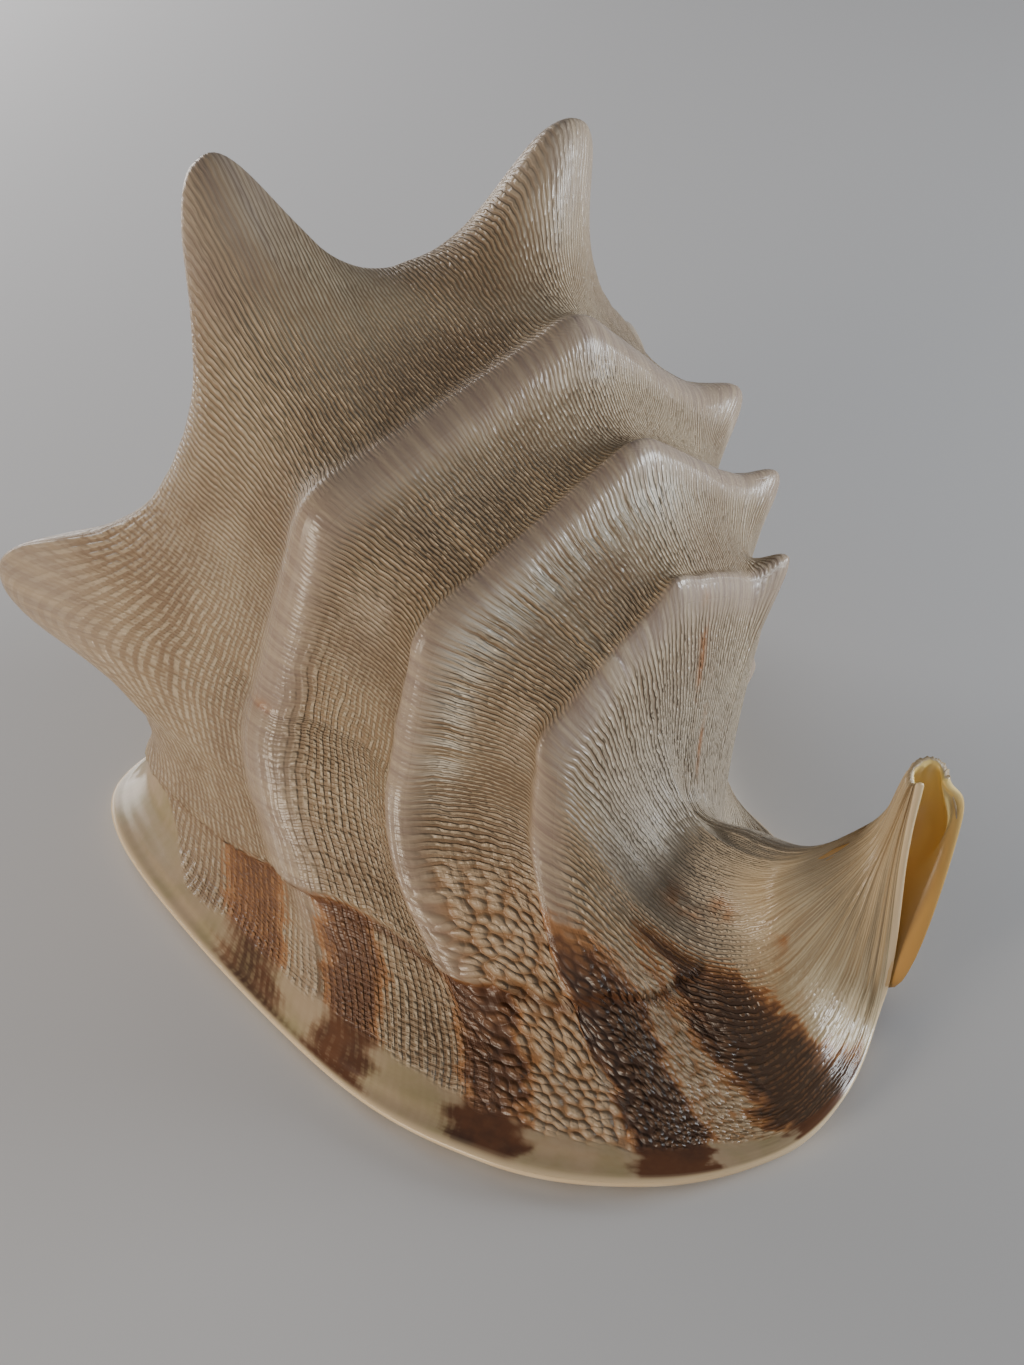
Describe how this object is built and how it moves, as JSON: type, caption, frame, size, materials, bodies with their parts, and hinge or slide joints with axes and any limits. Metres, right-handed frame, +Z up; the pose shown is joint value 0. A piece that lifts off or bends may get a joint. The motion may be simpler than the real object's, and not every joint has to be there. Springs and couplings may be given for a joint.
{
  "type": "horned helmet shell",
  "caption": "Large sea snail shell with blunt shoulder horns, spiral ridges, a flared toothed lip and an upturned canal; rests on its flat mouth side",
  "frame": {"origin": "on the surface the shell rests on, below the centre of its bounding box", "axes": "+X towards the siphonal canal end, -X the spire, -Y the flared outer lip, +Y the parietal side, +Z up through the back of the shell"},
  "size_m": [0.2816, 0.2166, 0.1917],
  "materials": {
    "shell": "satin"
  },
  "bodies": {
    "root": {"shell": "shell"}
  },
  "joints": []
}
